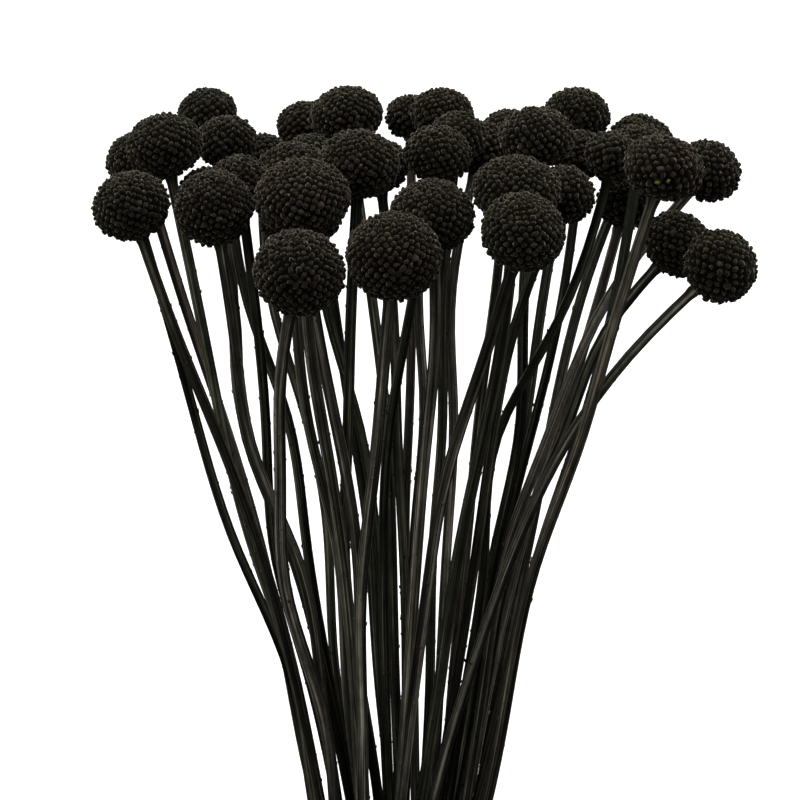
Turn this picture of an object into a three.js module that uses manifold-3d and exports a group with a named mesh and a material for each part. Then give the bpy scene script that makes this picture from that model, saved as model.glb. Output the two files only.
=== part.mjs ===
// A hand-tied bunch of dried, black-dyed billy buttons (Craspedia), standing on its cut stem ends.
//
// Units are millimetres and +Z is up. Every stem runs from the floor through the tie at the waist of
// the bunch up to its head, and all of them lean the same way round, as in a spiral hand-tied bunch.
// The origin is under the middle of the bunch, on the surface that the stems stand on.

import * as THREE from 'three';
import { ConvexGeometry } from 'three/addons/geometries/ConvexGeometry.js';
import { mergeVertices } from 'three/addons/utils/BufferGeometryUtils.js';
import loadManifold from 'manifold-3d';

// ---- driving dimensions -------------------------------------------------------------------------

const WAIST_Z = 155; // height of the middle of the tie
const SPIRAL = 0.14; // how far a stem stands round the waist, as a share of its head's reach
const FOOT_SPREAD = 0.5; // how far a stem stands out at the floor, as a share of its head's reach
const FOOT_SHIFT = new THREE.Vector2(1, -9); // sets the feet under the weight of the heads

const STEM_BASE = 2.1; // a stem is this thick, and thicker by a share of its head's width
const STEM_PER_HEAD = 0.06;
const AIR = 0.36; // gap kept between two stems, or a stem and a head
const HEAD_AIR = 0.5; // gap kept between two heads

// Heights at which a stem may bend. The last stretch goes from the top one into the head.
const LEVELS = [0, 75, 155, 205, 255, 305, 350, 390, 425];
const WAIST_LEVEL = LEVELS.indexOf(WAIST_Z);

const STEM_SIDES = 6;
const FLORET_SEEDS = 40; // valley points on a head, which give twice as many florets less four
const VALLEY = 0.92; // radius of the valleys between florets, as a share of the head's radius

const TIE_TURNS = 5;
const TWINE = 2.2; // diameter of the twine
const TIE_SEGMENTS = 24;
const TIE_AIR = 0.3;
const TIE_GROOVE = 0.6; // height of the valley between two turns, in twine diameters
const KNOT_SIZE = new THREE.Vector3(8, 5, 6.5);
const KNOT_SEAT = 0.3; // how far the back of the knot is from the inside of the ring
const END_SIDES = 6;
const END_STEPS = 6;
// The middle line of each loose end of the twine, from the middle of the knot.
const END_LINES = [
  [[0, 0, 0], [-4.5, -2.6, -0.5], [-9, -4.6, -4], [-12.5, -6.4, -10], [-14, -8.5, -17]],
  [[0, 0, 0], [4.5, -2.4, -1], [8, -4.4, -5], [9.5, -7, -11.5], [9, -9.5, -19]],
];

const BOW = 4; // furthest that a stem bows towards or away from the front between waist and head
const RANDOM_SEED = 20;

const SETTLING_STEPS = 900;
const LOOSE_SHARE = 0.8; // share of the steps in which the stems still ease and draw in
const EASING = 0.12; // how fast a stem that was pushed aside evens out along its length
const RETURN = 0.005; // how fast it goes back to its planned line
const SQUEEZE = 0.01; // how fast the waist draws in
const YIELD = 0.5; // share of an overlap with a head that a stem gives way in one step
const NEARLY_NOTHING = 0.01;

// The heads: the place of each centre, its width and its height along the stem. bends lists
// heights, and the x (where it matters, also the y) that the stem passes through at each.
const HEADS = [
  { at: [-66, 58, 488], size: [21, 18], bends: [[425, -57], [390, -55], [350, -41], [305, -27]] },
  {
    at: [-76, -5, 485],
    size: [25, 21],
    bends: [[425, -65], [390, -59], [350, -50], [305, -37], [255, -30]],
  },
  { at: [-58, 28, 482], size: [21, 18], bends: [[425, -50], [390, -38], [350, -32], [305, -25]] },
  {
    at: [-86, 20, 477],
    size: [23, 20],
    bends: [[425, -71], [390, -60], [350, -49], [305, -40], [255, -31]],
  },
  {
    at: [-85, -30, 469],
    size: [25, 22],
    bends: [[425, -71], [390, -58], [350, -45], [305, -34], [255, -25]],
  },
  { at: [-58, -42, 470], size: [25, 24], bends: [[425, -52], [390, -47], [350, -32], [305, -25]] },
  { at: [-50, -17, 474], size: [21, 19], bends: [[425, -45], [390, -43], [350, -41], [305, -30]] },
  { at: [-63, 5, 468], size: [20, 18], bends: [[425, -54], [390, -52], [350, -38], [305, -26]] },
  { at: [-47, 50, 474], size: [19, 17], bends: [[425, -44], [390, -34], [350, -26], [305, -24]] },
  { at: [-33, 58, 484], size: [19, 17], bends: [[425, -23], [390, -18], [350, -12], [305, -9]] },
  { at: [-18, 35, 490], size: [25, 20], bends: [[425, -9], [390, -5], [350, -3], [305, -2]] },
  { at: [-30, 18, 478], size: [18, 16], bends: [[425, -24], [390, -14], [350, -8], [305, -6]] },
  { at: [-35, -1, 476], size: [24, 20], bends: [[425, -34], [390, -30], [350, -21], [305, -18]] },
  { at: [-30, -54, 475], size: [30, 24], bends: [[425, -28], [390, -23], [350, -18]] },
  { at: [-32, -28, 466], size: [27, 22], bends: [[425, -26], [390, -19], [350, -13], [305, -12]] },
  {
    at: [-13, -28, 482],
    size: [26, 22],
    bends: [[425, -16], [390, -17], [350, -18], [305, -13], [255, -6]],
  },
  { at: [-7, -2, 478], size: [20, 18], bends: [[425, -2], [390, -1], [350, 1], [305, 2]] },
  { at: [4, 65, 486], size: [18, 16], bends: [[425, 4], [390, 3], [350, 1]] },
  { at: [14, 49, 489], size: [22, 18], bends: [[425, 6], [390, 8], [350, 5]] },
  { at: [19, 10, 486], size: [19, 17], bends: [[425, 14], [390, 14], [350, 11], [305, 10]] },
  { at: [27, 34, 479], size: [21, 19], bends: [[425, 17], [390, 18], [350, 16]] },
  { at: [37, 52, 482], size: [19, 17], bends: [[425, 32], [390, 27], [350, 23], [305, 18]] },
  { at: [12, -12, 483], size: [22, 19], bends: [[425, 2], [390, -4], [350, -6]] },
  { at: [10, -45, 468], size: [27, 23], bends: [[425, 11], [390, 8], [350, 5]] },
  { at: [44, -8, 488], size: [25, 20], bends: [[425, 41], [390, 41], [350, 34], [305, 27]] },
  { at: [60, 45, 489], size: [23, 19], bends: [[425, 48], [390, 43], [350, 36]] },
  { at: [61, 26, 478], size: [19, 17], bends: [[425, 54], [390, 46], [350, 36]] },
  { at: [69, -2, 481], size: [19, 17], bends: [[425, 50], [390, 32], [350, 28]] },
  { at: [82, 48, 479], size: [23, 20], bends: [[425, 62, 50], [390, 52], [350, 44], [305, 34]] },
  { at: [79, 20, 480], size: [21, 18], bends: [[425, 70], [390, 61], [350, 48], [305, 37]] },
  {
    at: [83, -30, 481],
    size: [26, 21],
    bends: [[425, 67], [390, 58], [350, 45], [305, 37], [255, 28]],
  },
  { at: [101, 8, 475], size: [22, 20], bends: [[425, 67, 19], [390, 50], [350, 35], [305, 27]] },
  { at: [76, 36, 460], size: [20, 18], bends: [[425, 66], [390, 55], [350, 42], [305, 31]] },
  { at: [91, 0, 452], size: [24, 21], bends: [[425, 68], [390, 53], [350, 36], [305, 27]] },
  {
    at: [102, -26, 449],
    size: [22, 24],
    bends: [[425, 78], [390, 53], [350, 35], [305, 20], [255, 7]],
  },
  {
    at: [-30, -85, 457],
    size: [28, 26],
    bends: [[425, -36], [390, -37], [350, -36], [305, -25], [255, -21]],
  },
  { at: [-2, -80, 461], size: [29, 27], bends: [[425, -5], [390, -8], [350, -12], [305, -12]] },
  { at: [36, -45, 476], size: [28, 22], bends: [[425, 32], [390, 26], [350, 19], [305, 14]] },
  { at: [52, -26, 472], size: [20, 19], bends: [[425, 36], [390, 30], [350, 25]] },
  { at: [37, -78, 468], size: [26, 24], bends: [[425, 25], [390, 15], [350, 9], [305, 4]] },
  {
    at: [-86, -5, 465],
    size: [18, 17],
    bends: [[425, -75], [390, -66], [350, -54], [305, -36], [255, -27]],
  },
];

// ---- small helpers ------------------------------------------------------------------------------

const GOLDEN_ANGLE = Math.PI * (3 - Math.sqrt(5));
const UP = new THREE.Vector3(0, 0, 1);

function seededRandom(seed) {
  let state = seed;
  return () => {
    state = (state * 16807) % 2147483647;
    return state / 2147483647;
  };
}

// ---- where every stem runs ----------------------------------------------------------------------

// A stem's line is one point for each level, and the head's centre as its last point.
function plannedLine(head, bow) {
  const [x, y, z] = head.at;
  const waist = new THREE.Vector2(-SPIRAL * y, SPIRAL * x).negate();
  const foot = new THREE.Vector2(x, y).sub(waist).multiplyScalar(-FOOT_SPREAD).add(waist);
  foot.add(FOOT_SHIFT);
  const depthAt = (height) => {
    const share = (height - WAIST_Z) / (z - WAIST_Z);
    return THREE.MathUtils.lerp(waist.y, y, share) + bow * Math.sin(Math.PI * share);
  };
  const knots = [[0, foot.x, foot.y], [WAIST_Z, waist.x, waist.y]];
  for (const [height, across, depth = depthAt(height)] of [...head.bends].reverse()) {
    knots.push([height, across, depth]);
  }
  knots.push([z, x, y]);
  const heights = knots.map((knot) => knot[0]);
  const places = knots.flatMap((knot) => [knot[1], knot[2]]);
  const curve = new THREE.CubicInterpolant(heights, places, 2);
  const line = LEVELS.map((height) => {
    const [px, py] = curve.evaluate(height);
    return new THREE.Vector3(px, py, height);
  });
  line.push(new THREE.Vector3(x, y, z));
  return line;
}

function makeButtons() {
  const random = seededRandom(RANDOM_SEED);
  return HEADS.map((head) => {
    const line = plannedLine(head, BOW * (random() * 2 - 1));
    return {
      line,
      plan: line.map((point) => point.clone()),
      radius: (STEM_BASE + STEM_PER_HEAD * head.size[0]) / 2,
      headRadius: head.size[0] / 2,
      flatness: head.size[1] / head.size[0],
    };
  });
}

// A level cut through a leaning stem is longer than the stem is thick.
function leanFactor(button, level) {
  const { line } = button;
  const low = line[Math.max(level - 1, 0)];
  const high = line[Math.min(level + 1, line.length - 1)];
  return low.distanceTo(high) / (high.z - low.z);
}

function sectionRadius(button, level) {
  return button.radius * leanFactor(button, level);
}

// Pushes two stems apart where they come closest between two levels.
function partStems(a, b, level) {
  const top = level + 1;
  const [a0, a1, b0, b1] = [a.line[level], a.line[top], b.line[level], b.line[top]];
  const ceiling = Math.min(a1.z, b1.z);
  const reach = (low, high) => (ceiling - low.z) / (high.z - low.z);
  const aEnd = new THREE.Vector3().lerpVectors(a0, a1, reach(a0, a1));
  const bEnd = new THREE.Vector3().lerpVectors(b0, b1, reach(b0, b1));
  const start = new THREE.Vector2(b0.x - a0.x, b0.y - a0.y);
  const change = new THREE.Vector2(bEnd.x - aEnd.x, bEnd.y - aEnd.y).sub(start);
  const length = change.lengthSq();
  const share = length > 0 ? THREE.MathUtils.clamp(-start.dot(change) / length, 0, 1) : 0;
  const nearest = start.clone().addScaledVector(change, share);
  const distance = nearest.length();
  const radii = (button) => Math.max(sectionRadius(button, level), sectionRadius(button, top));
  const needed = radii(a) + radii(b) + AIR;
  if (distance >= needed) {
    return;
  }
  const overlap = needed - distance;
  const push = nearest.multiplyScalar(overlap / 2 / Math.max(distance, NEARLY_NOTHING));
  for (const [point, weight] of [[level, 1 - share], [top, share]]) {
    for (const [button, sign] of [[a, -1], [b, 1]]) {
      const fixedHead = point === button.line.length - 1;
      if (!fixedHead) {
        button.line[point].x += sign * push.x * weight;
        button.line[point].y += sign * push.y * weight;
      }
    }
  }
}

// Pushes a stem sideways out of another button's head.
function clearHead(stem, other) {
  const centre = other.line[other.line.length - 1];
  const needed = other.headRadius + stem.radius + AIR;
  for (let level = LEVELS.length - 2; level < stem.line.length - 1; level += 1) {
    const segment = new THREE.Line3(stem.line[level], stem.line[level + 1]);
    const share = segment.closestPointToPointParameter(centre, true);
    const nearest = segment.at(share, new THREE.Vector3());
    const away = nearest.clone().sub(centre);
    const distance = Math.hypot(away.x, away.y, away.z / other.flatness);
    if (distance < needed) {
      const flat = Math.max(Math.hypot(away.x, away.y), NEARLY_NOTHING);
      const push = (needed - distance) * YIELD / flat;
      for (const point of [level, level + 1]) {
        if (point < stem.line.length - 1) {
          stem.line[point].x += away.x * push;
          stem.line[point].y += away.y * push;
        }
      }
    }
  }
}

function partHeads(a, b) {
  const [p, q] = [a.line[a.line.length - 1], b.line[b.line.length - 1]];
  const apart = q.clone().sub(p);
  const needed = a.headRadius + b.headRadius + HEAD_AIR;
  const flatness = (a.flatness + b.flatness) / 2;
  const distance = Math.hypot(apart.x, apart.y, apart.z / flatness);
  if (distance < needed) {
    apart.multiplyScalar((needed - distance) / (2 * distance));
    p.sub(apart);
    q.add(apart);
  }
}

// Keeps what has been pushed aside smooth: each point's shift follows those of its neighbours.
function smoothShift(button) {
  const { line, plan } = button;
  const shift = line.map((point, index) => point.clone().sub(plan[index]));
  for (let level = 0; level < line.length - 1; level += 1) {
    const below = shift[Math.max(level - 1, 0)];
    const above = shift[level + 1];
    const mean = below.clone().add(above).multiplyScalar(0.5);
    const eased = shift[level].clone().lerp(mean, EASING).multiplyScalar(1 - RETURN);
    line[level].x = plan[level].x + eased.x;
    line[level].y = plan[level].y + eased.y;
  }
}

function drawInAtWaist(button) {
  const point = button.line[WAIST_LEVEL];
  point.x *= 1 - SQUEEZE;
  point.y *= 1 - SQUEEZE;
}

function settle(buttons) {
  for (let step = 0; step < SETTLING_STEPS; step += 1) {
    if (step < SETTLING_STEPS * LOOSE_SHARE) {
      buttons.forEach(smoothShift);
      buttons.forEach(drawInAtWaist);
    }
    buttons.forEach((a, index) => {
      for (const b of buttons.slice(index + 1)) {
        partHeads(a, b);
        for (let level = 0; level < LEVELS.length; level += 1) {
          partStems(a, b, level);
        }
        clearHead(a, b);
        clearHead(b, a);
      }
    });
  }
}

// ---- solids -------------------------------------------------------------------------------------

const wasm = await loadManifold();
wasm.setup();

function toSolid(geometry) {
  const bare = new THREE.BufferGeometry();
  bare.setAttribute('position', geometry.getAttribute('position'));
  if (geometry.index) {
    bare.setIndex(geometry.index);
  }
  const merged = mergeVertices(bare, 1e-4);
  const mesh = new wasm.Mesh({
    numProp: 3,
    vertProperties: Float32Array.from(merged.getAttribute('position').array),
    triVerts: Uint32Array.from(merged.index.array),
  });
  return new wasm.Manifold(mesh);
}

function toGeometry(solid) {
  const mesh = solid.getMesh();
  const geometry = new THREE.BufferGeometry();
  geometry.setAttribute('position', new THREE.BufferAttribute(mesh.vertProperties, 3));
  geometry.setIndex(new THREE.BufferAttribute(mesh.triVerts, 1));
  geometry.computeVertexNormals();
  return geometry;
}

// A six-sided rod whose rings are level, bent to run along the stem's line. It ends in the head.
function stemGeometry(button) {
  const { line, radius } = button;
  const last = line.length - 1;
  const geometry = new THREE.CylinderGeometry(1, 1, last, STEM_SIDES, last);
  geometry.rotateX(Math.PI / 2);
  const position = geometry.getAttribute('position');
  for (let index = 0; index < position.count; index += 1) {
    const level = Math.round(position.getZ(index) + last / 2);
    const centre = line[level];
    const low = line[Math.max(level - 1, 0)];
    const high = line[Math.min(level + 1, last)];
    const lean = new THREE.Vector2(high.x - low.x, high.y - low.y).divideScalar(high.z - low.z);
    const stretch = Math.hypot(1, lean.length()) - 1;
    const along = lean.clone().normalize();
    const offset = new THREE.Vector2(position.getX(index), position.getY(index));
    offset.addScaledVector(along, offset.dot(along) * stretch).multiplyScalar(radius);
    position.setXYZ(index, centre.x + offset.x, centre.y + offset.y, centre.z);
  }
  return geometry;
}

// A ball of pointed florets, one on each face that the valley points span.
function floretBall() {
  const valleys = [];
  for (let seed = 0; seed < FLORET_SEEDS; seed += 1) {
    const z = 1 - (2 * seed + 1) / FLORET_SEEDS;
    const ring = Math.sqrt(1 - z * z);
    const turn = seed * GOLDEN_ANGLE;
    valleys.push(new THREE.Vector3(ring * Math.cos(turn), ring * Math.sin(turn), z));
  }
  const faces = new ConvexGeometry(valleys).getAttribute('position');
  const points = [];
  for (let index = 0; index < faces.count; index += 3) {
    const corners = [0, 1, 2].map((k) => new THREE.Vector3().fromBufferAttribute(faces, index + k));
    const tip = corners[0].clone().add(corners[1]).add(corners[2]).normalize();
    corners.forEach((corner, k) => {
      const next = corners[(k + 1) % 3];
      points.push(corner.clone().multiplyScalar(VALLEY), next.clone().multiplyScalar(VALLEY), tip);
    });
  }
  return new THREE.BufferGeometry().setFromPoints(points);
}

function headGeometry(button, ball, spin) {
  const { line, headRadius, flatness } = button;
  const [neck, centre] = line.slice(-2);
  const axis = centre.clone().sub(neck).normalize();
  const turn = new THREE.Quaternion().setFromUnitVectors(UP, axis);
  turn.multiply(new THREE.Quaternion().setFromAxisAngle(UP, spin));
  const size = new THREE.Vector3(headRadius, headRadius, headRadius * flatness);
  return ball.clone().applyMatrix4(new THREE.Matrix4().compose(centre, turn, size));
}

// The turns of twine as one ring with a rounded ridge for each turn.
function ringGeometry(innerRadius) {
  const halfHeight = (TIE_TURNS * TWINE) / 2;
  const valley = innerRadius + TWINE * TIE_GROOVE;
  const crest = innerRadius + TWINE;
  const profile = [new THREE.Vector2(innerRadius, -halfHeight)];
  for (let turn = 0; turn < TIE_TURNS; turn += 1) {
    const foot = turn * TWINE - halfHeight;
    profile.push(new THREE.Vector2(valley, foot));
    profile.push(new THREE.Vector2(crest, foot + TWINE / 2));
  }
  profile.push(new THREE.Vector2(valley, halfHeight));
  profile.push(new THREE.Vector2(innerRadius, halfHeight));
  profile.push(profile[0].clone());
  const ring = new THREE.LatheGeometry(profile, TIE_SEGMENTS);
  return ring.rotateX(Math.PI / 2).translate(0, 0, WAIST_Z);
}

// The lump of the knot, centred on the origin.
function knotGeometry() {
  const lump = new THREE.IcosahedronGeometry(0.5, 1);
  return lump.scale(KNOT_SIZE.x, KNOT_SIZE.y, KNOT_SIZE.z);
}

// A loose end of twine, cut square at its tip.
function endGeometry(corners) {
  const path = new THREE.CatmullRomCurve3(corners.map((corner) => new THREE.Vector3(...corner)));
  const { tangents, normals } = path.computeFrenetFrames(END_STEPS);
  const rod = new THREE.CylinderGeometry(TWINE / 2, TWINE / 2, END_STEPS, END_SIDES, END_STEPS);
  rod.rotateX(Math.PI / 2);
  const position = rod.getAttribute('position');
  for (let index = 0; index < position.count; index += 1) {
    const step = Math.round(position.getZ(index) + END_STEPS / 2);
    const place = path.getPointAt(step / END_STEPS);
    const side = new THREE.Vector3().crossVectors(tangents[step], normals[step]);
    place.addScaledVector(normals[step], position.getX(index));
    place.addScaledVector(side, position.getY(index));
    position.setXYZ(index, place.x, place.y, place.z);
  }
  return rod;
}

// The ring, its knot at the front and the knot's two loose ends, as one solid.
function tieSolid(innerRadius) {
  const knotMiddle = -(innerRadius + KNOT_SEAT + KNOT_SIZE.y / 2);
  const knot = [knotGeometry(), ...END_LINES.map(endGeometry)].map(toSolid);
  const tied = knot.reduce((whole, piece) => whole.add(piece));
  return toSolid(ringGeometry(innerRadius)).add(tied.translate([0, knotMiddle, WAIST_Z]));
}

// ---- the bunch ----------------------------------------------------------------------------------

const dyed = { color: 0x1d1b18, roughness: 0.9, metalness: 0 };
const jute = { color: 0x8a6f4d, roughness: 0.95, metalness: 0 };

const buttons = makeButtons();
settle(buttons);

const bunch = new THREE.Group();
const ball = floretBall();

buttons.forEach((button, index) => {
  const stem = toSolid(stemGeometry(button));
  const head = toSolid(headGeometry(button, ball, index * GOLDEN_ANGLE));
  const mesh = new THREE.Mesh(toGeometry(stem.add(head)), new THREE.MeshStandardMaterial(dyed));
  mesh.name = `billy_button_${String(index + 1).padStart(2, '0')}`;
  bunch.add(mesh);
});

// How far the stems reach from the middle of the tie, at its waist and at both its edges.
const tieReach = Math.max(...buttons.flatMap((button) => [-1, 0, 1].map((side) => {
  const waist = button.line[WAIST_LEVEL];
  const next = button.line[WAIST_LEVEL + (side || 1)];
  const share = (TIE_TURNS * TWINE) / 2 / Math.abs(next.z - waist.z);
  const place = waist.clone().lerp(next, side === 0 ? 0 : share);
  return Math.hypot(place.x, place.y) + sectionRadius(button, WAIST_LEVEL);
})));
const tieShape = toGeometry(tieSolid(tieReach + TIE_AIR));
const tie = new THREE.Mesh(tieShape, new THREE.MeshStandardMaterial(jute));
tie.name = 'twine_tie';
bunch.add(tie);

// The origin goes under the middle of the whole bunch.
const extent = new THREE.Box3().setFromObject(bunch);
const middle = extent.getCenter(new THREE.Vector3());
bunch.position.set(-middle.x, -middle.y, -extent.min.z);

export default bunch;
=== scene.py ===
"""Looks for a hand-tied bunch of black-dyed, dried billy buttons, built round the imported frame.

Each CAD billy button is replaced by two pieces that keep its form: its head, with the florets set
one by one in the spiral order in which they grow, and its ribbed stem. The CAD tie is replaced by
turns of two-ply twine with their knot. All sizes are in metres.
"""

import math

import bmesh
import bpy
import numpy as np
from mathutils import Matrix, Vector


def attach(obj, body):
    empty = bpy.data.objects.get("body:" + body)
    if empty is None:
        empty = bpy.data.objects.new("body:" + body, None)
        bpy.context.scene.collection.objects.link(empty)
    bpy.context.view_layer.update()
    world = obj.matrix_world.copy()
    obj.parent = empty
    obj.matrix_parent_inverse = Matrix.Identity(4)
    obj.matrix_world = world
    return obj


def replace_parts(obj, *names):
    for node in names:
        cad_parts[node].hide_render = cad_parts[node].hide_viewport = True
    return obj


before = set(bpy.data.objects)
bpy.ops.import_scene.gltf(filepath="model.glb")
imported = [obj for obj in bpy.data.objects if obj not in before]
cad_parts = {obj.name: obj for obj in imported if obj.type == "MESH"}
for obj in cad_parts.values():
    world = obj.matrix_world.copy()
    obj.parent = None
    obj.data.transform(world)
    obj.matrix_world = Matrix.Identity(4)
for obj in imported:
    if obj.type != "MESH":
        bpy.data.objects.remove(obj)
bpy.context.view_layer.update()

MM = 0.001
TURN = 2 * math.pi

# ---- the frame's own layout ---------------------------------------------------------------------

STEM_LEVELS = [z * MM for z in (0, 75, 155, 205, 255, 305, 350, 390, 425)]  # rings of a CAD stem
LEVEL_FUZZ = 0.002 * MM
TIP_REACH = 0.99  # how far the outermost CAD floret reaches, as a share of the head's radius
AXIS_SHARE = 0.3  # CAD vertices this near a head's axis, as a share of its radius, are the stem's

# ---- heads --------------------------------------------------------------------------------------

GOLDEN_ANGLE = math.pi * (3 - math.sqrt(5))
PITCH_TOP = 2.25 * MM  # the florets on top of a head are buds and stand close together
PITCH_LOW = 2.85 * MM  # those low on it are open and stand further apart
RIPENING = 1.2  # how much later than halfway down a head its florets open
PITCH_SPREAD = 0.06  # heads differ this much in the size of their florets
COARSE = {31: 1.1, 35: 1.1, 40: 0.97, 6: 0.95}  # heads with larger or smaller florets than most
BROADER = {35: (1.1, 1.1, 0.98)}  # a head with longer florets round its sides than on top
FLORET_SIDES = 6
# Rings of a floret from its root up: radius and height for a pitch of 1, and how near the tip it is.
BUD_RINGS = [(0.37, -0.60, 0.0), (0.42, -0.18, 0.35), (0.33, 0.13, 0.72), (0.18, 0.25, 0.95)]
OPEN_RINGS = [(0.35, -0.70, 0.0), (0.40, -0.20, 0.15), (0.32, 0.12, 0.50), (0.18, 0.27, 0.95)]
BUD_TOP = 0.30
OPEN_TOP = 0.32
RIPENESS_SPREAD = 0.25
FLORET_TILT = 0.12  # spread of the directions in which florets point
FLORET_SIZES = 0.14  # spread of their sizes
FLORET_SQUASH = 0.12  # how far they are from round
FLORET_LIFT = 0.10  # spread of their heights, in pitches
FLORET_DENTS = 0.055  # unevenness of a floret, in pitches
SCATTER = 0.13  # how far florets grow from their even places, in pitches
RELAX_STEPS = 7
RELAX_REACH = 1.2  # florets nearer than this many pitches push each other away
RELAX_RATE = 0.16
COLLAR = 1.0  # no florets grow within this many stem radii of the stem's axis
COMMON_CAST = (0.3, 0.7)  # range of the casts of the heads that CAST doesn't name
CORE_DEPTH = 0.8 * MM  # how far the core sits inside the head's outline; its colour is painted dark as shade between the florets

# A few florets took no dye: for each such head, their directions from its middle.
UNDYED = {
    31: [(-0.29, -0.93, -0.24), (0.10, -0.97, -0.22)],
    37: [(-0.69, -0.72, -0.09)],
}
UNDYED_KIND = {31: 1.0, 37: 0.5}  # 1 is yellow and 0.5 rust-brown

# Heads that took the dye with a green cast (towards 0) or a red-brown one (towards 1).
CAST = {1: 0.15, 2: 0.25, 9: 0.3, 23: 0.25, 29: 0.2, 34: 0.35, 36: 0.6, 37: 0.65, 14: 0.65, 31: 0.75}

# How light the florets of a head are on the whole, where it isn't EVEN_SHADE.
SHADE = {6: 0.34, 36: 0.38, 24: 0.46, 14: 0.55, 31: 0.55, 38: 0.57, 35: 0.62}
EVEN_SHADE = 0.5
SHADE_SPREAD = 0.23

# ---- stems --------------------------------------------------------------------------------------

STEM_RINGS = 62
NECK_RINGS = 9  # close rings in the last stretch under the head
NECK = 7 * MM
MOUTH = 0.96  # a stem meets its head at this share of the head's half height below its centre
STEM_SIDES = 16
RIB_DEPTH = 0.04  # spread of the radius round a stem, as a share of it
SKIRT_REACH = 1.6 * MM  # height of the slight swelling of the stem under a head
SKIRT_FLARE = 0.25
PITH_SHARE = 0.45  # radius of the pith, as a share of the cut end's
PITH_AT_RIM = 0.3  # how pale the rim of the cut end is, where 1 is pith
SPURS = (5, 1.6 * MM, 0.55 * MM)  # stubs of leaves on a stem: how many, their length and radius
STUBBLE = (80, 1.1 * MM, 0.33 * MM)  # the same of the shorter hairs
SPUR_SIDES = 4
SPUR_LOWEST = 12  # the lowest ring of a stem that has spurs
SPUR_SIZES = (0.6, 1.2)
SPUR_LEAN = 0.5  # how far spurs lean out from the stem
SPUR_SINK = 0.6  # how deep they start in it, in their radii
SPUR_TAPER = np.array([1.3, 0.7, 0.15])  # radii from root to tip

# How pale a stem is, where it stands out: 0 is near-black and 1 a pinkish grey.
PALE = {36: 0.9, 37: 0.75, 40: 0.5, 35: 0.5, 15: 0.6, 31: 0.2, 6: 0.35, 5: 0.35}
COMMON_PALE = 0.95  # the palest of the others
PALE_RARITY = 2.7  # the higher, the fewer of the others are pale

# ---- twine --------------------------------------------------------------------------------------

TWINE_RADIUS = 1.1 * MM
TWINE_TURNS = 5
TURN_PITCH = 1.95 * MM
PLY_SHARE = 0.56  # radius of a ply, as a share of the twine's
TWIST_LENGTH = 6 * MM  # length in which the plies go once round each other
PLY_SIDES = 8
TWINE_STEP = 0.7 * MM
STEPS_PER_TURN = 180
KNOT_ANGLE = -math.pi / 2  # the knot is in front
KNOT_OUT = 1.7 * MM
KNOT_SCALE = np.array([0.95, 0.85, 0.72]) * MM
KNOT_STEPS = 90
END_LINES = [
    [(0, 0, 0), (-4.5, -2.6, -0.5), (-9, -4.6, -4), (-12.5, -6.4, -10), (-14, -8.5, -17)],
    [(0, 0, 0), (4.5, -2.4, -1), (8, -4.4, -5), (9.5, -7, -11.5), (9, -9.5, -19)],
]
END_STEPS = 40
END_OPENING = 1.0  # how far the plies open at the end of a loose end, as a share of their spread
FIBRES = 240
FIBRE_LENGTH = 2.2 * MM
FIBRE_LENGTHS = (0.3, 1)
FIBRE_RADIUS = 0.045 * MM
FIBRE_TAPER = np.array([1, 0.8, 0.6, 0.3])
FIBRE_SIDES = 3
FIBRE_LEAN = 0.7  # spread of the directions in which fibres stand
FIBRE_CURL = 0.25


# ---- reading the frame --------------------------------------------------------------------------


def unique_points(node):
    points = np.array([v.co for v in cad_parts[node].data.vertices])
    return np.unique(points.round(7), axis=0)


def unit(vectors):
    """Vectors, one or many, made one unit long."""
    return vectors / np.linalg.norm(vectors, axis=-1, keepdims=True)


def ring_radius(ring):
    """The radius of a round stem from a level ring round it, which its lean only stretches."""
    spread = np.cov(ring[:, :2].T, bias=True)
    return math.sqrt(2 * np.linalg.eigvalsh(spread)[0])


def read_button(node, number):
    """The centreline, the head and the stem radius of a CAD billy button."""
    points = unique_points(node)
    rings = [points[abs(points[:, 2] - z) < LEVEL_FUZZ] for z in STEM_LEVELS]
    line = np.array([ring.mean(0) for ring in rings])
    line[:, 2] = STEM_LEVELS
    head = points[points[:, 2] > STEM_LEVELS[-1] + LEVEL_FUZZ]
    centre = head.mean(0)
    for _ in range(4):
        axis = unit(centre - line[-1])
        along = (head - centre) @ axis
        out = np.linalg.norm(head - centre - np.outer(along, axis), axis=1)
        centre = head[out > AXIS_SHARE * out.max()].mean(0)
    return {
        "number": number,
        "line": np.vstack([line, centre]),
        "centre": centre,
        "axis": axis,
        "radius": out.max() / TIP_REACH,
        "half_height": along.max() / TIP_REACH,
        "stem_radius": ring_radius(rings[len(rings) // 2]),
    }


def read_tie():
    """The middle of the top of the CAD tie's ring."""
    points = unique_points("twine_tie")
    ring = points[points[:, 2] > points[:, 2].max() - LEVEL_FUZZ]
    return (ring.min(0) + ring.max(0)) / 2


def axes_across(axis):
    """Two unit vectors square to axis and to each other, right-handed with it."""
    side = unit(np.cross((0.0, 1.0, 0.0), axis))
    return side, np.cross(axis, side)


def smooth_line(points, heights):
    """A natural cubic spline through the points, taken at the heights."""
    knots = points[:, 2]
    n = len(points)
    step = np.diff(knots)
    matrix = np.eye(n)
    right = np.zeros((n, 3))
    for i in range(1, n - 1):
        matrix[i, i - 1 : i + 2] = step[i - 1], 2 * (step[i - 1] + step[i]), step[i]
        rise = (points[i + 1] - points[i]) / step[i] - (points[i] - points[i - 1]) / step[i - 1]
        right[i] = 6 * rise
    bend = np.linalg.solve(matrix, right)
    places = []
    for z in heights:
        i = min(np.searchsorted(knots, z, "right") - 1, n - 2)
        h, a, b = step[i], knots[i + 1] - z, z - knots[i]
        straight = points[i] * a / h + points[i + 1] * b / h
        curve = (a**3 / h - a * h) * bend[i] / 6 + (b**3 / h - b * h) * bend[i + 1] / 6
        places.append(straight + curve)
    return np.array(places)


# ---- meshes -------------------------------------------------------------------------------------


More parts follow.
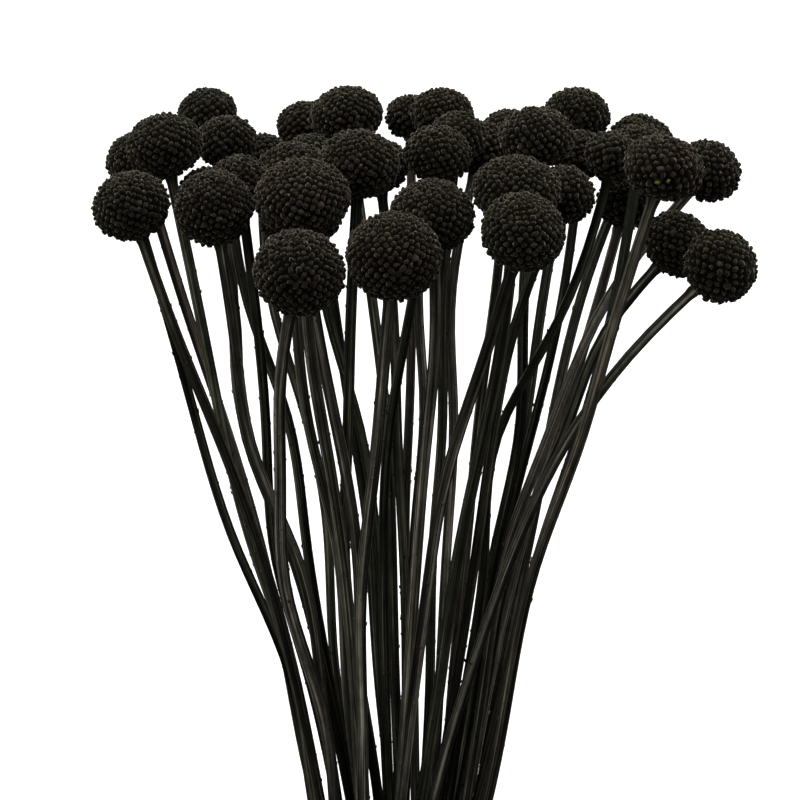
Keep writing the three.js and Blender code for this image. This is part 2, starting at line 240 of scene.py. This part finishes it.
class Shape:
    """Points, faces and values per point, gathered from several bodies."""

    def __init__(self):
        self.points = []
        self.faces = []
        self.values = {}

    def add(self, points, faces, **values):
        first = len(self.points)
        self.points += [tuple(map(float, p)) for p in points]
        self.faces += [tuple(first + int(i) for i in face) for face in faces]
        for key, value in values.items():
            column = self.values.setdefault(key, [0.0] * first)
            column += list(np.broadcast_to(value, len(points)).astype(float))
        for column in self.values.values():
            column += [0.0] * (len(self.points) - len(column))

    def piece(self, name, material):
        """A smooth mesh object that rides the frame's root."""
        mesh = bpy.data.meshes.new(name)
        mesh.from_pydata(self.points, [], self.faces)
        mesh.shade_smooth()
        for key, column in self.values.items():
            layer = mesh.attributes.new(key, "FLOAT", "POINT")
            layer.data.foreach_set("value", np.asarray(column, np.float32))
        mesh.materials.append(material)
        made = bpy.data.objects.new(name, mesh)
        bpy.context.scene.collection.objects.link(made)
        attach(made, "root")
        return made


def wall_faces(rings, sides):
    """Faces between rings of points that follow each other, seen from outside."""
    faces = []
    for ring in range(rings - 1):
        for k in range(sides):
            a = ring * sides + k
            b = ring * sides + (k + 1) % sides
            faces.append((a, b, b + sides, a + sides))
    return faces


def tube(line, radii, sides):
    """A closed tube round a line. Its ends are flat."""
    run = unit(np.gradient(line, axis=0))
    points = []
    side = axes_across(run[0])[0]
    turns = np.arange(sides) / sides * TURN
    for place, direction, radius in zip(line, run, radii):
        side = unit(side - direction * (side @ direction))
        front = np.cross(direction, side)
        points += [place + radius * (side * math.cos(t) + front * math.sin(t)) for t in turns]
    faces = wall_faces(len(line), sides)
    faces.append(tuple(reversed(range(sides))))
    faces.append(tuple(range((len(line) - 1) * sides, len(line) * sides)))
    return points, faces


# ---- heads --------------------------------------------------------------------------------------


def ripeness(cosine):
    """How open the florets are, from 0 on top of a head, where the cosine is 1, to 1 under it."""
    return ((1 - cosine) / 2) ** RIPENING


def floret_spots(half_sizes, scale, dice):
    """Places of the floret tips on a spheroid in spiral order, eased apart, and their pitches."""
    radius, _, half_height = half_sizes
    polar = np.linspace(0, math.pi, 400)
    slope = np.hypot(radius * np.cos(polar), half_height * np.sin(polar))
    pitch = scale * (PITCH_TOP + (PITCH_LOW - PITCH_TOP) * ripeness(np.cos(polar)))
    crowd = radius * np.sin(polar) * slope / (pitch**2 * math.sqrt(3) / 2) * TURN
    total = np.concatenate([[0], np.cumsum(crowd[1:] * np.diff(polar))])
    count = int(total[-1])
    polar = np.interp((np.arange(count) + 0.5) / count * total[-1], total, polar)
    turn = np.arange(count) * GOLDEN_ANGLE + dice.uniform(0, TURN)
    ring = np.sin(polar)
    ripe = ripeness(np.cos(polar))
    pitch = scale * (PITCH_TOP + (PITCH_LOW - PITCH_TOP) * ripe)
    spots = np.stack([ring * np.cos(turn), ring * np.sin(turn), np.cos(polar)], 1) * half_sizes
    spots += dice.normal(0, 1, spots.shape) * SCATTER * pitch[:, None]
    reach = RELAX_REACH * (pitch[:, None] + pitch[None]) / 2
    for _ in range(RELAX_STEPS):
        gap = spots[:, None] - spots[None]
        distance = np.linalg.norm(gap, axis=2) + np.eye(count)
        push = (1 - distance / reach).clip(0) / distance
        spots = spots + RELAX_RATE * pitch[:, None] * (gap * push[:, :, None]).sum(1)
        spots /= np.linalg.norm(spots / half_sizes, axis=1)[:, None]
    return spots, pitch, ripe


def floret_body(rings, top):
    """The points of a floret for a pitch of 1, with its tip at the origin, and their nearness."""
    turns = np.arange(FLORET_SIDES) / FLORET_SIDES * TURN
    points = [
        (r * math.cos(t), r * math.sin(t), h - top, near) for r, h, near in rings for t in turns
    ]
    return np.array(points + [(0, 0, 0, 1)])


def floret_faces():
    faces = []
    for a, b, c, d in wall_faces(len(BUD_RINGS), FLORET_SIDES):
        faces += [(a, b, c), (a, c, d)]
    tip = len(BUD_RINGS) * FLORET_SIDES
    for side in range(FLORET_SIDES):
        last = tip - FLORET_SIDES
        faces.append((last + side, last + (side + 1) % FLORET_SIDES, tip))
    return np.array(faces)


def core_body(half_sizes):
    """A closed ball under the florets."""
    bm = bmesh.new()
    bmesh.ops.create_icosphere(bm, subdivisions=3, radius=1)
    points = np.array([v.co for v in bm.verts]) * half_sizes
    faces = [[v.index for v in f.verts] for f in bm.faces]
    bm.free()
    return points, faces


def make_head(button, material):
    number = button["number"]
    dice = np.random.default_rng(1000 + number)
    half_sizes = np.array([button["radius"], button["radius"], button["half_height"]])
    half_sizes *= BROADER.get(number, (1.0, 1.0, 1.0))
    scale = COARSE.get(number, 1 + PITCH_SPREAD * dice.uniform(-1, 1))
    spots, pitch, ripe = floret_spots(half_sizes, scale, dice)
    near_stem = np.hypot(spots[:, 0], spots[:, 1]) < COLLAR * button["stem_radius"]
    kept = ~(near_stem & (spots[:, 2] < 0))
    spots, pitch, ripe = spots[kept], pitch[kept], ripe[kept]
    count = len(spots)

    out = unit(unit(spots / half_sizes**2) + dice.normal(0, FLORET_TILT, spots.shape))
    east = unit(np.cross((0.0, 0.0, 1.0), out))
    turn = dice.uniform(0, TURN, count)[:, None]
    east = east * np.cos(turn) + np.cross(out, east) * np.sin(turn)
    north = np.cross(out, east)
    size = pitch * (1 + FLORET_SIZES * dice.normal(0, 1, count).clip(-2, 2))
    squash = 1 + FLORET_SQUASH * dice.normal(0, 1, count).clip(-2, 2)
    lift = pitch * FLORET_LIFT * dice.normal(-0.5, 1, count).clip(-2.5, 1)

    bud, opened = floret_body(BUD_RINGS, BUD_TOP), floret_body(OPEN_RINGS, OPEN_TOP)
    ripe = (ripe + RIPENESS_SPREAD * dice.normal(0, 1, count)).clip(0, 1)[:, None, None]
    body = bud * (1 - ripe) + opened * ripe
    body[:, :, :3] += FLORET_DENTS * dice.normal(0, 1, (count, len(bud), 3))
    florets = (
        body[:, :, 0, None] * (east * squash[:, None])[:, None]
        + body[:, :, 1, None] * (north / squash[:, None])[:, None]
        + body[:, :, 2, None] * out[:, None]
    )
    florets = (spots + out * lift[:, None])[:, None] + florets * size[:, None, None]

    side, front = axes_across(button["axis"])
    basis = np.array([side, front, button["axis"]])
    undyed = np.zeros(count)
    for direction in UNDYED.get(number, []):
        undyed[np.argmax(unit(spots) @ basis @ unit(np.array(direction)))] = UNDYED_KIND[number]
    corners = body.shape[1]
    cast = CAST.get(number, dice.uniform(*COMMON_CAST))
    shade = SHADE.get(number, EVEN_SHADE)
    shape = Shape()
    shape.add(
        florets.reshape(-1, 3) @ basis + button["centre"],
        (floret_faces()[None] + (np.arange(count) * corners)[:, None, None]).reshape(-1, 3),
        tip=body[:, :, 3].ravel(),
        shade=np.repeat(dice.normal(shade, SHADE_SPREAD, count).clip(0, 1), corners),
        undyed=np.repeat(undyed, corners),
        cast=cast,
    )
    # The core has no tip value, so the floret colour gives it the deepest painted shade.
    core, core_faces = core_body(half_sizes - CORE_DEPTH)
    shape.add(core @ basis + button["centre"], core_faces, cast=cast)
    return shape.piece(f"florets_{number:02d}", material)


# ---- stems --------------------------------------------------------------------------------------


def add_spurs(shape, line, run, thick, dice, count, length, radius, **values):
    """Small scars and stubs of leaves and hairs, as pointed spurs that lie close along the stem."""
    steps = np.linspace(0, 1, len(SPUR_TAPER))[:, None]
    for _ in range(count):
        ring = dice.integers(SPUR_LOWEST, STEM_RINGS - 2)
        share = dice.uniform()
        place = line[ring] * (1 - share) + line[ring + 1] * share
        side, front = axes_across(run[ring])
        turn = dice.uniform(0, TURN)
        out = side * math.cos(turn) + front * math.sin(turn)
        size = dice.uniform(*SPUR_SIZES)
        lean = unit(run[ring] + SPUR_LEAN * out)
        spur = place + out * (thick - SPUR_SINK * radius) + lean * steps * length * size
        points, faces = tube(spur, radius * size * SPUR_TAPER, SPUR_SIDES)
        values.update(ring_x=math.cos(turn), ring_y=math.sin(turn), along=place[2])
        shape.add(points, faces, **values)


def make_stem(button, material):
    number = button["number"]
    dice = np.random.default_rng(2000 + number)
    thick = button["stem_radius"]
    mouth = button["centre"] - button["axis"] * button["half_height"] * MOUTH
    heights = np.linspace(0, mouth[2] - NECK, STEM_RINGS)
    neck = np.linspace(mouth[2] - NECK, mouth[2] + thick, NECK_RINGS + 1)[1:]
    line = smooth_line(button["line"], np.concatenate([heights, neck]))
    run = unit(np.gradient(line, axis=0))
    run[0] = (0, 0, 1)
    below = np.linalg.norm(line - mouth, axis=1)
    skirt = np.exp(-((below / SKIRT_REACH) ** 2))
    start = dice.uniform(0, TURN)
    turns = start + np.arange(STEM_SIDES) / STEM_SIDES * TURN
    rib = 1 + RIB_DEPTH * dice.normal(0, 1, STEM_SIDES).clip(-1.5, 1.5)
    points = []
    for place, direction, flare in zip(line, run, 1 + SKIRT_FLARE * skirt):
        side, front = axes_across(direction)
        ring = np.outer(np.cos(turns) * rib, side) + np.outer(np.sin(turns) * rib, front)
        points += list(place + ring * thick * flare)
    rings = len(line)
    faces = wall_faces(rings, STEM_SIDES)
    faces.append(tuple(range((rings - 1) * STEM_SIDES, rings * STEM_SIDES)))
    pale = PALE.get(number, COMMON_PALE * dice.uniform() ** PALE_RARITY)
    cast = dice.uniform()
    look = {"pale": pale, "seed": dice.uniform(0, 50), "cast": cast}
    shape = Shape()
    shape.add(
        points,
        faces,
        ring_x=np.tile(np.cos(turns), rings),
        ring_y=np.tile(np.sin(turns), rings),
        along=np.repeat(line[:, 2], STEM_SIDES),
        pith=0.0,
        **look,
    )
    cut = np.array(points[:STEM_SIDES])
    inner = line[0] + (cut - line[0]) * PITH_SHARE
    end_faces = [(b, a, d, c) for a, b, c, d in wall_faces(2, STEM_SIDES)]
    end_faces.append(tuple(reversed(range(STEM_SIDES, 2 * STEM_SIDES))))
    pith = [PITH_AT_RIM] * STEM_SIDES + [1.0] * STEM_SIDES
    shape.add(np.vstack([cut, inner]), end_faces, pith=pith, **look)
    for kind in (SPURS, STUBBLE):
        add_spurs(shape, line, run, thick, dice, *kind, **look)
    return shape.piece(f"stem_{number:02d}", material)


# ---- twine --------------------------------------------------------------------------------------


def even_steps(line, step):
    """The line with its points step apart."""
    length = np.concatenate([[0], np.cumsum(np.linalg.norm(np.diff(line, axis=0), axis=1))])
    places = np.linspace(0, length[-1], max(int(length[-1] / step), 4))
    return np.stack([np.interp(places, length, line[:, k]) for k in range(3)], 1)


def add_twine(shape, line, open_end=0.0):
    """Two plies twisted round each other along the line, opening a little at its end."""
    line = even_steps(line, TWINE_STEP)
    run = unit(np.gradient(line, axis=0))
    side = axes_across(run[0])[0]
    sides, fronts = [], []
    for direction in run:
        side = unit(side - direction * (side @ direction))
        sides.append(side)
        fronts.append(np.cross(direction, side))
    sides, fronts = np.array(sides), np.array(fronts)
    twist = np.arange(len(line)) * TWINE_STEP / TWIST_LENGTH * TURN
    share = np.arange(len(line)) / (len(line) - 1)
    ply = TWINE_RADIUS * PLY_SHARE
    spread = (TWINE_RADIUS - ply) * (1 + open_end * share**6)
    for phase in (0, math.pi):
        turn = (twist + phase)[:, None]
        centre = line + spread[:, None] * (sides * np.cos(turn) + fronts * np.sin(turn))
        points, faces = tube(centre, np.full(len(line), ply), PLY_SIDES)
        shape.add(points, faces)


def curve_through(corners, count):
    """A smooth curve through the corners (Catmull-Rom)."""
    corners = np.array(corners, float)
    padded = np.vstack([2 * corners[0] - corners[1], corners, 2 * corners[-1] - corners[-2]])
    places = []
    for t in np.linspace(0, len(corners) - 1, count):
        i = min(int(t), len(corners) - 2)
        a, b, c, d = padded[i : i + 4]
        u = t - i
        square, cube = 2 * a - 5 * b + 4 * c - d, 3 * b - a - 3 * c + d
        places.append(0.5 * (2 * b + (c - a) * u + square * u**2 + cube * u**3))
    return np.array(places)


def add_fibres(shape, spots, outward, dice):
    """Loose fibres that stand off the twine."""
    steps = np.linspace(0, 1, len(FIBRE_TAPER))[:, None]
    for _ in range(FIBRES):
        pick = dice.integers(len(spots))
        lean = unit(outward[pick] + dice.normal(0, FIBRE_LEAN, 3))
        curl = dice.normal(0, FIBRE_CURL, 3)
        length = FIBRE_LENGTH * dice.uniform(*FIBRE_LENGTHS)
        line = spots[pick] + length * (lean * steps + curl * steps**2)
        points, faces = tube(line, FIBRE_RADIUS * FIBRE_TAPER, FIBRE_SIDES)
        shape.add(points, faces)


def round_bundle(buttons, angles, heights):
    """Points where a twine drawn tight round the stems lies in the directions, at the heights."""
    lines = np.array([smooth_line(button["line"], heights) for button in buttons])
    thick = np.array([button["stem_radius"] for button in buttons])
    out = np.stack([np.cos(angles), np.sin(angles), np.zeros(len(angles))], 1)
    outermost = ((lines * out).sum(2) + thick[:, None]).argmax(0)
    places = lines[outermost, np.arange(len(angles))]
    return places + out * (thick[outermost] + TWINE_RADIUS)[:, None]


def make_twine(top, buttons, material):
    """The turns round the waist, the knot in front, its two loose ends and stray fibres."""
    dice = np.random.default_rng(3)
    waist = top - (0, 0, TWINE_TURNS * TWINE_RADIUS)
    shape = Shape()
    turns = np.linspace(0, TWINE_TURNS, TWINE_TURNS * STEPS_PER_TURN)
    rise = (turns - TWINE_TURNS / 2) * TURN_PITCH
    ring = round_bundle(buttons, turns * TURN + KNOT_ANGLE, waist[2] + rise)
    ring = even_steps(ring, TWINE_STEP)
    add_twine(shape, ring)
    knot = round_bundle(buttons, np.array([KNOT_ANGLE]), waist[2:])[0] - (0, KNOT_OUT, 0)
    t = np.linspace(0, TURN, KNOT_STEPS)
    across, up = np.sin(t) + 2 * np.sin(2 * t), np.cos(t) - 2 * np.cos(2 * t)
    loops = np.stack([across, -np.sin(3 * t), up], 1)  # a trefoil
    add_twine(shape, knot + loops * KNOT_SCALE)
    for corners in END_LINES:
        add_twine(shape, knot + curve_through(corners, END_STEPS) * MM, END_OPENING)
    outward = unit((ring - waist) * (1, 1, 0))
    add_fibres(shape, ring + outward * TWINE_RADIUS, outward, dice)
    return shape.piece("twine", material)


# ---- materials ----------------------------------------------------------------------------------


class Material:
    """A node material with short calls for the nodes used here."""

    def __init__(self, name):
        self.material = bpy.data.materials.new(name)
        self.material.use_nodes = True
        self.tree = self.material.node_tree
        self.shader = self.tree.nodes["Principled BSDF"]

    def node(self, kind, **settings):
        made = self.tree.nodes.new(kind)
        for key, value in settings.items():
            setattr(made, key, value)
        return made

    def feed(self, socket, value):
        """Links an output to the socket, or sets a number or a colour on it."""
        if isinstance(value, bpy.types.NodeSocket):
            self.tree.links.new(value, socket)
        elif isinstance(value, tuple):
            socket.default_value = (*value, 1)[: len(socket.default_value)]
        else:
            socket.default_value = value

    def attribute(self, name):
        return self.node("ShaderNodeAttribute", attribute_name=name).outputs["Fac"]

    def place(self, stretch=(1, 1, 1)):
        """Object coordinates, squeezed along each axis by stretch."""
        mapping = self.node("ShaderNodeMapping")
        mapping.inputs["Scale"].default_value = stretch
        self.feed(mapping.inputs["Vector"], self.node("ShaderNodeTexCoord").outputs["Object"])
        return mapping.outputs["Vector"]

    def vector(self, *parts):
        node = self.node("ShaderNodeCombineXYZ")
        for socket, part in zip(node.inputs, parts):
            self.feed(socket, part)
        return node.outputs["Vector"]

    def noise(self, place, scale, detail=3):
        node = self.node("ShaderNodeTexNoise")
        self.feed(node.inputs["Vector"], place)
        self.feed(node.inputs["Scale"], scale)
        self.feed(node.inputs["Detail"], detail)
        return node.outputs["Fac"]

    def ramp(self, value, *stops):
        """Colours, or greys given as one number, at positions along the value."""
        node = self.node("ShaderNodeValToRGB")
        points = node.color_ramp.elements
        while len(points) < len(stops):
            points.new(0.5)
        for point, (position, colour) in zip(points, stops):
            point.position = position
            point.color = (*(colour if isinstance(colour, tuple) else (colour,) * 3), 1)
        self.feed(node.inputs["Fac"], value)
        return node.outputs["Color"]

    def math(self, operation, *values):
        node = self.node("ShaderNodeMath", operation=operation)
        for socket, value in zip(node.inputs, values):
            self.feed(socket, value)
        return node.outputs[0]

    def mix(self, blend, factor, a, b):
        node = self.node("ShaderNodeMix", data_type="RGBA", blend_type=blend)
        for key, value in (("Factor", factor), ("A", a), ("B", b)):
            self.feed(next(s for s in node.inputs if s.name == key and s.enabled), value)
        return next(s for s in node.outputs if s.enabled)

    def times(self, colour, *factors):
        for factor in factors:
            colour = self.mix("MULTIPLY", 1.0, colour, factor)
        return colour

    def bump(self, height, distance, strength=1.0):
        node = self.node("ShaderNodeBump")
        self.feed(node.inputs["Height"], height)
        self.feed(node.inputs["Distance"], distance)
        self.feed(node.inputs["Strength"], strength)
        self.feed(self.shader.inputs["Normal"], node.outputs["Normal"])

    def set(self, **values):
        for key, value in values.items():
            self.feed(self.shader.inputs[key.replace("_", " ")], value)


def floret_material():
    m = Material("dyed_floret")
    place = m.place()
    patches = m.math("MULTIPLY_ADD", m.noise(place, 150, 2), 2.4, -1.2)
    cast = m.math("ADD", m.attribute("cast"), patches)
    tint = m.ramp(
        cast,
        (0.0, (0.0108, 0.0110, 0.0060)),
        (0.35, (0.0119, 0.0108, 0.0066)),
        (0.65, (0.0128, 0.0108, 0.0075)),
        (1.0, (0.0155, 0.0106, 0.0078)),
    )
    # Painted shade: each floret gets darker and browner towards its root, and the core between the
    # florets, whose tip value is 0, is darkest.
    painted_shade_to_root = m.ramp(
        m.attribute("tip"),
        (0.0, (0.24, 0.18, 0.06)),
        (0.25, (0.31, 0.25, 0.13)),
        (0.65, (0.54, 0.48, 0.38)),
        (0.95, (1.08, 1.08, 1.06)),
    )
    uneven = m.ramp(m.attribute("shade"), (0.0, 0.45), (0.5, 0.95), (1.0, 2.0))
    broad = m.ramp(m.noise(place, 230, 1), (0.3, 0.7), (0.7, 1.32))
    grain = m.ramp(m.noise(place, 1100), (0.32, 0.55), (0.68, 1.5))
    colour = m.times(tint, painted_shade_to_root, uneven, broad, grain)
    undyed = m.attribute("undyed")
    bare = m.ramp(undyed, (0.5, (0.11, 0.045, 0.012)), (1.0, (0.22, 0.20, 0.03)))
    at_tip = m.ramp(m.attribute("tip"), (0.85, 0.0), (1.0, 1.0))
    bare_tip = m.math("MULTIPLY", m.math("GREATER_THAN", undyed, 0.1), at_tip)
    colour = m.mix("MIX", bare_tip, colour, bare)
    fuzz = m.ramp(m.attribute("tip"), (0.0, 0.25), (0.4, 0.65), (0.9, 1.0))
    m.set(Base_Color=colour, Roughness=0.75, Specular_IOR_Level=0.03)
    m.set(Sheen_Weight=fuzz, Sheen_Roughness=0.42, Sheen_Tint=(0.33, 0.295, 0.235))
    m.bump(m.noise(place, 3000), 0.12 * MM, 0.7)
    return m.material


def stem_material():
    m = Material("dyed_stem")
    along = m.math("MULTIPLY_ADD", m.attribute("along"), 5, m.attribute("seed"))
    place = m.vector(m.attribute("ring_x"), m.attribute("ring_y"), along)
    broad = m.noise(place, 0.9, 1)
    fine = m.noise(place, 2.6, 1)
    tint = m.ramp(
        m.attribute("pale"),
        (0.0, (0.0125, 0.0130, 0.0094)),
        (0.4, (0.037, 0.0355, 0.0285)),
        (1.0, (0.070, 0.0615, 0.054)),
    )
    cast = m.ramp(
        m.attribute("cast"),
        (0.0, (0.92, 1.0, 0.86)),
        (0.5, (1.0, 1.0, 0.95)),
        (1.0, (1.08, 0.98, 0.95)),
    )
    # Painted shade: the stems get darker towards the bottom of the bunch, under the heads.
    height = m.ramp(m.attribute("along"), (0.12, 0.5), (0.25, 0.55), (0.34, 1.5))
    stripe = m.ramp(broad, (0.36, 0.28), (0.5, 0.88), (0.64, 1.8))
    streak = m.ramp(fine, (0.36, 0.45), (0.52, 0.85), (0.66, 1.8))
    line = m.ramp(m.noise(place, 6, 1), (0.40, 0.55), (0.54, 0.9), (0.66, 2.6))
    mottle = m.ramp(m.noise(m.place((1, 1, 0.35)), 420), (0.35, 0.75), (0.7, 1.3))
    colour = m.times(tint, cast, height, stripe, streak, line, mottle)
    colour = m.mix("MIX", m.attribute("pith"), colour, (0.22, 0.18, 0.13))
    m.set(Base_Color=colour, Roughness=0.5)
    m.set(Specular_IOR_Level=0.06, Specular_Tint=(1.0, 0.93, 0.8))
    m.bump(fine, 0.3 * MM, 0.9)
    return m.material


def twine_material():
    m = Material("twine")
    strand = m.noise(m.place(), 1500, 5)
    colour = m.ramp(
        strand,
        (0.3, (0.13, 0.085, 0.042)),
        (0.55, (0.26, 0.185, 0.10)),
        (0.75, (0.42, 0.32, 0.19)),
    )
    broad = m.ramp(m.noise(m.place(), 130), (0.3, 0.8), (0.7, 1.15))
    m.set(Base_Color=m.times(colour, broad), Roughness=0.9)
    m.set(Specular_IOR_Level=0.25, Sheen_Weight=0.25)
    m.bump(strand, 0.25 * MM, 0.9)
    return m.material


def paper_material():
    m = Material("studio_floor")
    m.set(Base_Color=m.ramp(m.noise(m.place(), 3), (0.0, 0.86), (1.0, 0.88)), Roughness=0.9)
    return m.material


# ---- the bunch ----------------------------------------------------------------------------------

florets = floret_material()
stems = stem_material()
names = sorted(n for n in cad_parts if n.startswith("billy_button_"))
buttons = [read_button(name, number) for number, name in enumerate(names, start=1)]
for name, button in zip(names, buttons):
    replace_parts(make_head(button, florets), name)
    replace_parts(make_stem(button, stems), name)

tie_top = read_tie()
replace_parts(make_twine(tie_top, buttons, twine_material()), "twine_tie")

# ---- studio -------------------------------------------------------------------------------------

FLOOR_SIZE = 30
bpy.ops.mesh.primitive_plane_add(size=FLOOR_SIZE, location=(0, 0, 0))
floor = bpy.context.object
floor.name = "studio_floor"
floor.data.materials.append(paper_material())

# The paper throws no light back up on the bunch.
floor.visible_diffuse = False
floor.visible_glossy = False

# The studio is bright above the bunch, dimmer at the horizon and dark below.
BRIGHT_SIDE = Vector((0.0, 0.0, 1.0))
SKY = [(-0.6, 0.04), (0.0, 0.13), (0.4, 0.50), (0.85, 1.6)]  # brightness towards the bright side
world = bpy.data.worlds.new("studio")
world.use_nodes = True
nodes, links = world.node_tree.nodes, world.node_tree.links
towards = nodes.new("ShaderNodeVectorMath")
towards.operation = "DOT_PRODUCT"
towards.inputs[1].default_value = BRIGHT_SIDE
links.new(nodes.new("ShaderNodeTexCoord").outputs["Generated"], towards.inputs[0])
sky = nodes.new("ShaderNodeFloatCurve")
sky.mapping.extend = "HORIZONTAL"
points = sky.mapping.curves[0].points
while len(points) < len(SKY):
    points.new(0.5, 0.5)
for point, (share, brightness) in zip(points, SKY):
    point.location = share, brightness
sky.mapping.clip_min_x, sky.mapping.clip_min_y = -1, 0
sky.mapping.clip_max_x, sky.mapping.clip_max_y = 1, 2
sky.mapping.update()
links.new(towards.outputs["Value"], sky.inputs["Value"])
links.new(sky.outputs["Value"], nodes["Background"].inputs["Strength"])
nodes["Background"].inputs["Color"].default_value = (1, 1, 1, 1)
bpy.context.scene.world = world


SUN_SPREAD = math.radians(50)


def soft_sun(name, direction, strength):
    """A wide lamp that lights the bunch and the paper evenly from one direction."""
    light = bpy.data.lights.new(name, "SUN")
    light.angle = SUN_SPREAD
    light.energy = strength
    lamp = bpy.data.objects.new(name, light)
    lamp.rotation_euler = Vector(direction).to_track_quat("Z", "Y").to_euler()
    bpy.context.scene.collection.objects.link(lamp)


soft_sun("key", (-0.3, -0.3, 1.1), 1.7)
soft_sun("fill", (-0.35, -1.0, 0.25), 0.9)
soft_sun("right", (1.0, 0.35, 0.25), 0.7)
soft_sun("rear", (-0.6, 1.0, 0.25), 0.8)

# The camera looks down on the heads from the front, with the tie's axis in the middle of the view.
PHOTO_WIDTH = 800
PIXELS_PER_MM = 1 / 0.33
CAMERA_DISTANCE = 1.0
CAMERA_RISE = math.radians(12)
AIM_HEIGHT = 0.4
SENSOR = 36

camera = bpy.data.cameras.new("camera")
camera.sensor_width = SENSOR
camera.lens = SENSOR * PIXELS_PER_MM * CAMERA_DISTANCE / MM / PHOTO_WIDTH
camera.clip_end = 100
view = bpy.data.objects.new("camera", camera)
aim = Vector((tie_top[0], tie_top[1], AIM_HEIGHT))
back = Vector((0, -math.cos(CAMERA_RISE), math.sin(CAMERA_RISE)))
view.location = aim + back * CAMERA_DISTANCE
view.rotation_euler = (-back).to_track_quat("-Z", "Y").to_euler()
bpy.context.scene.collection.objects.link(view)
bpy.context.scene.camera = view
bpy.context.scene.view_settings.view_transform = "Standard"
